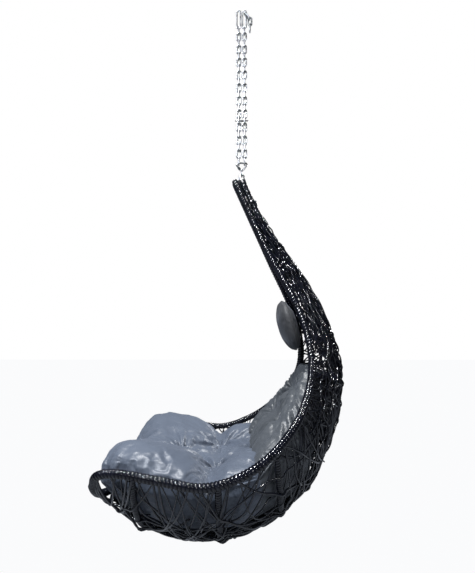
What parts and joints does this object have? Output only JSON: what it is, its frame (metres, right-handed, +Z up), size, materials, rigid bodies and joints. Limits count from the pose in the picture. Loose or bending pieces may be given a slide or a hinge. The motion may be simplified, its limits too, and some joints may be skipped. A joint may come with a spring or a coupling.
{
  "type": "hanging chair",
  "caption": "Hanging teardrop chair: wrapped steel-tube basket with open weave, seat and back cushions and head pillow, on a doubled chain with snap hooks.",
  "frame": {"origin": "inside of the top crowns of the two snap hooks, midway between them, where the chair hangs from a stand or ceiling eye", "axes": "+Z up, the sitter faces -Y, +X is the sitter's left"},
  "size_m": [0.8626, 0.7485, 1.845],
  "materials": {
    "steel_tube": "satin",
    "rattan_strip": "gloss",
    "rattan_strand": "gloss",
    "zinc_hardware": "satin",
    "seat_cloth": "satin",
    "back_cloth": "satin",
    "pillow_cloth": "matte"
  },
  "bodies": {
    "hanger": {"front_hook": "zinc_hardware", "rear_hook": "zinc_hardware", "hook_rivets": "zinc_hardware", "spare_links": "zinc_hardware"},
    "front_gate": {"front_hook_gate": "zinc_hardware"},
    "rear_gate": {"rear_hook_gate": "zinc_hardware"},
    "top_links": {"top_links": "zinc_hardware"},
    "front_fall": {"front_fall": "zinc_hardware"},
    "rear_fall": {"rear_fall": "zinc_hardware"},
    "tie": {"tie_link": "zinc_hardware", "tie_nut": "zinc_hardware"},
    "quick_link": {"delta_link": "zinc_hardware"},
    "quick_nut": {"delta_nut": "zinc_hardware"},
    "frame_link": {"frame_link": "zinc_hardware"},
    "chair": {"frame_eye": "zinc_hardware", "apex_plate": "steel_tube", "left_side_rail": "steel_tube", "right_side_rail": "steel_tube", "front_rail": "steel_tube", "spine_tube": "steel_tube", "upper_back_rib": "steel_tube", "middle_back_rib": "steel_tube", "seat_back_rib": "steel_tube", "seat_middle_rib": "steel_tube", "seat_front_rib": "steel_tube", "left_rail_wrap": "rattan_strip", "right_rail_wrap": "rattan_strip", "front_rail_wrap": "rattan_strip", "spine_wrap": "rattan_strip", "rib_wraps": "rattan_strip", "left_back_weave": "rattan_strand", "right_back_weave": "rattan_strand", "left_seat_weave": "rattan_strand", "right_seat_weave": "rattan_strand", "seat_cushion": "seat_cloth", "back_cushion": "back_cloth", "head_pillow": "pillow_cloth", "seat_buttons": "seat_cloth", "back_buttons": "back_cloth"}
  },
  "joints": [
    {"name": "front_gate_open", "type": "hinge", "parent": "hanger", "child": "front_gate", "pos_m": [0, -0.017, -0.055], "axis": [-1, 0, 0], "range_deg": [0, 10], "stiffness_Nm_per_rad": 0.02},
    {"name": "rear_gate_open", "type": "hinge", "parent": "hanger", "child": "rear_gate", "pos_m": [0, 0.0036, -0.055], "axis": [-1, 0, 0], "range_deg": [0, 10], "stiffness_Nm_per_rad": 0.02},
    {"name": "side_sway", "type": "hinge", "parent": "hanger", "child": "top_links", "pos_m": [0, 0, -0.067], "axis": [0, 1, 0], "range_deg": [-15, 15]},
    {"name": "swing", "type": "hinge", "parent": "top_links", "child": "front_fall", "pos_m": [0, -0.0103, -0.09175], "axis": [1, 0, 0], "range_deg": [-25, 25]},
    {"name": "rear_fall_swing", "type": "hinge", "parent": "top_links", "child": "rear_fall", "pos_m": [0, 0.0103, -0.09175], "axis": [1, 0, 0], "range_deg": [-25, 25]},
    {"name": "tie_level", "type": "hinge", "parent": "front_fall", "child": "tie", "pos_m": [0, -0.0103, -0.4261], "axis": [1, 0, 0], "range_deg": [-25, 25]},
    {"name": "quick_link_level", "type": "hinge", "parent": "front_fall", "child": "quick_link", "pos_m": [0, -0.0103, -0.59175], "axis": [1, 0, 0], "range_deg": [-25, 25]},
    {"name": "quick_nut_open", "type": "slide", "parent": "quick_link", "child": "quick_nut", "axis": [0, -0.6, 0.8], "range_m": [0, 0.006]},
    {"name": "turn", "type": "hinge", "parent": "quick_link", "child": "frame_link", "pos_m": [0, 0, -0.6132], "axis": [0, 0, 1], "range_deg": [-10, 10]},
    {"name": "tilt", "type": "hinge", "parent": "frame_link", "child": "chair", "pos_m": [0, 0, -0.6349], "axis": [1, 0, 0], "range_deg": [-12, 12]}
  ],
  "couplings": [
    {"joint": "rear_fall_swing", "follows": "swing", "ratio": 1},
    {"joint": "tie_level", "follows": "swing", "ratio": -1},
    {"joint": "quick_link_level", "follows": "swing", "ratio": -1}
  ]
}
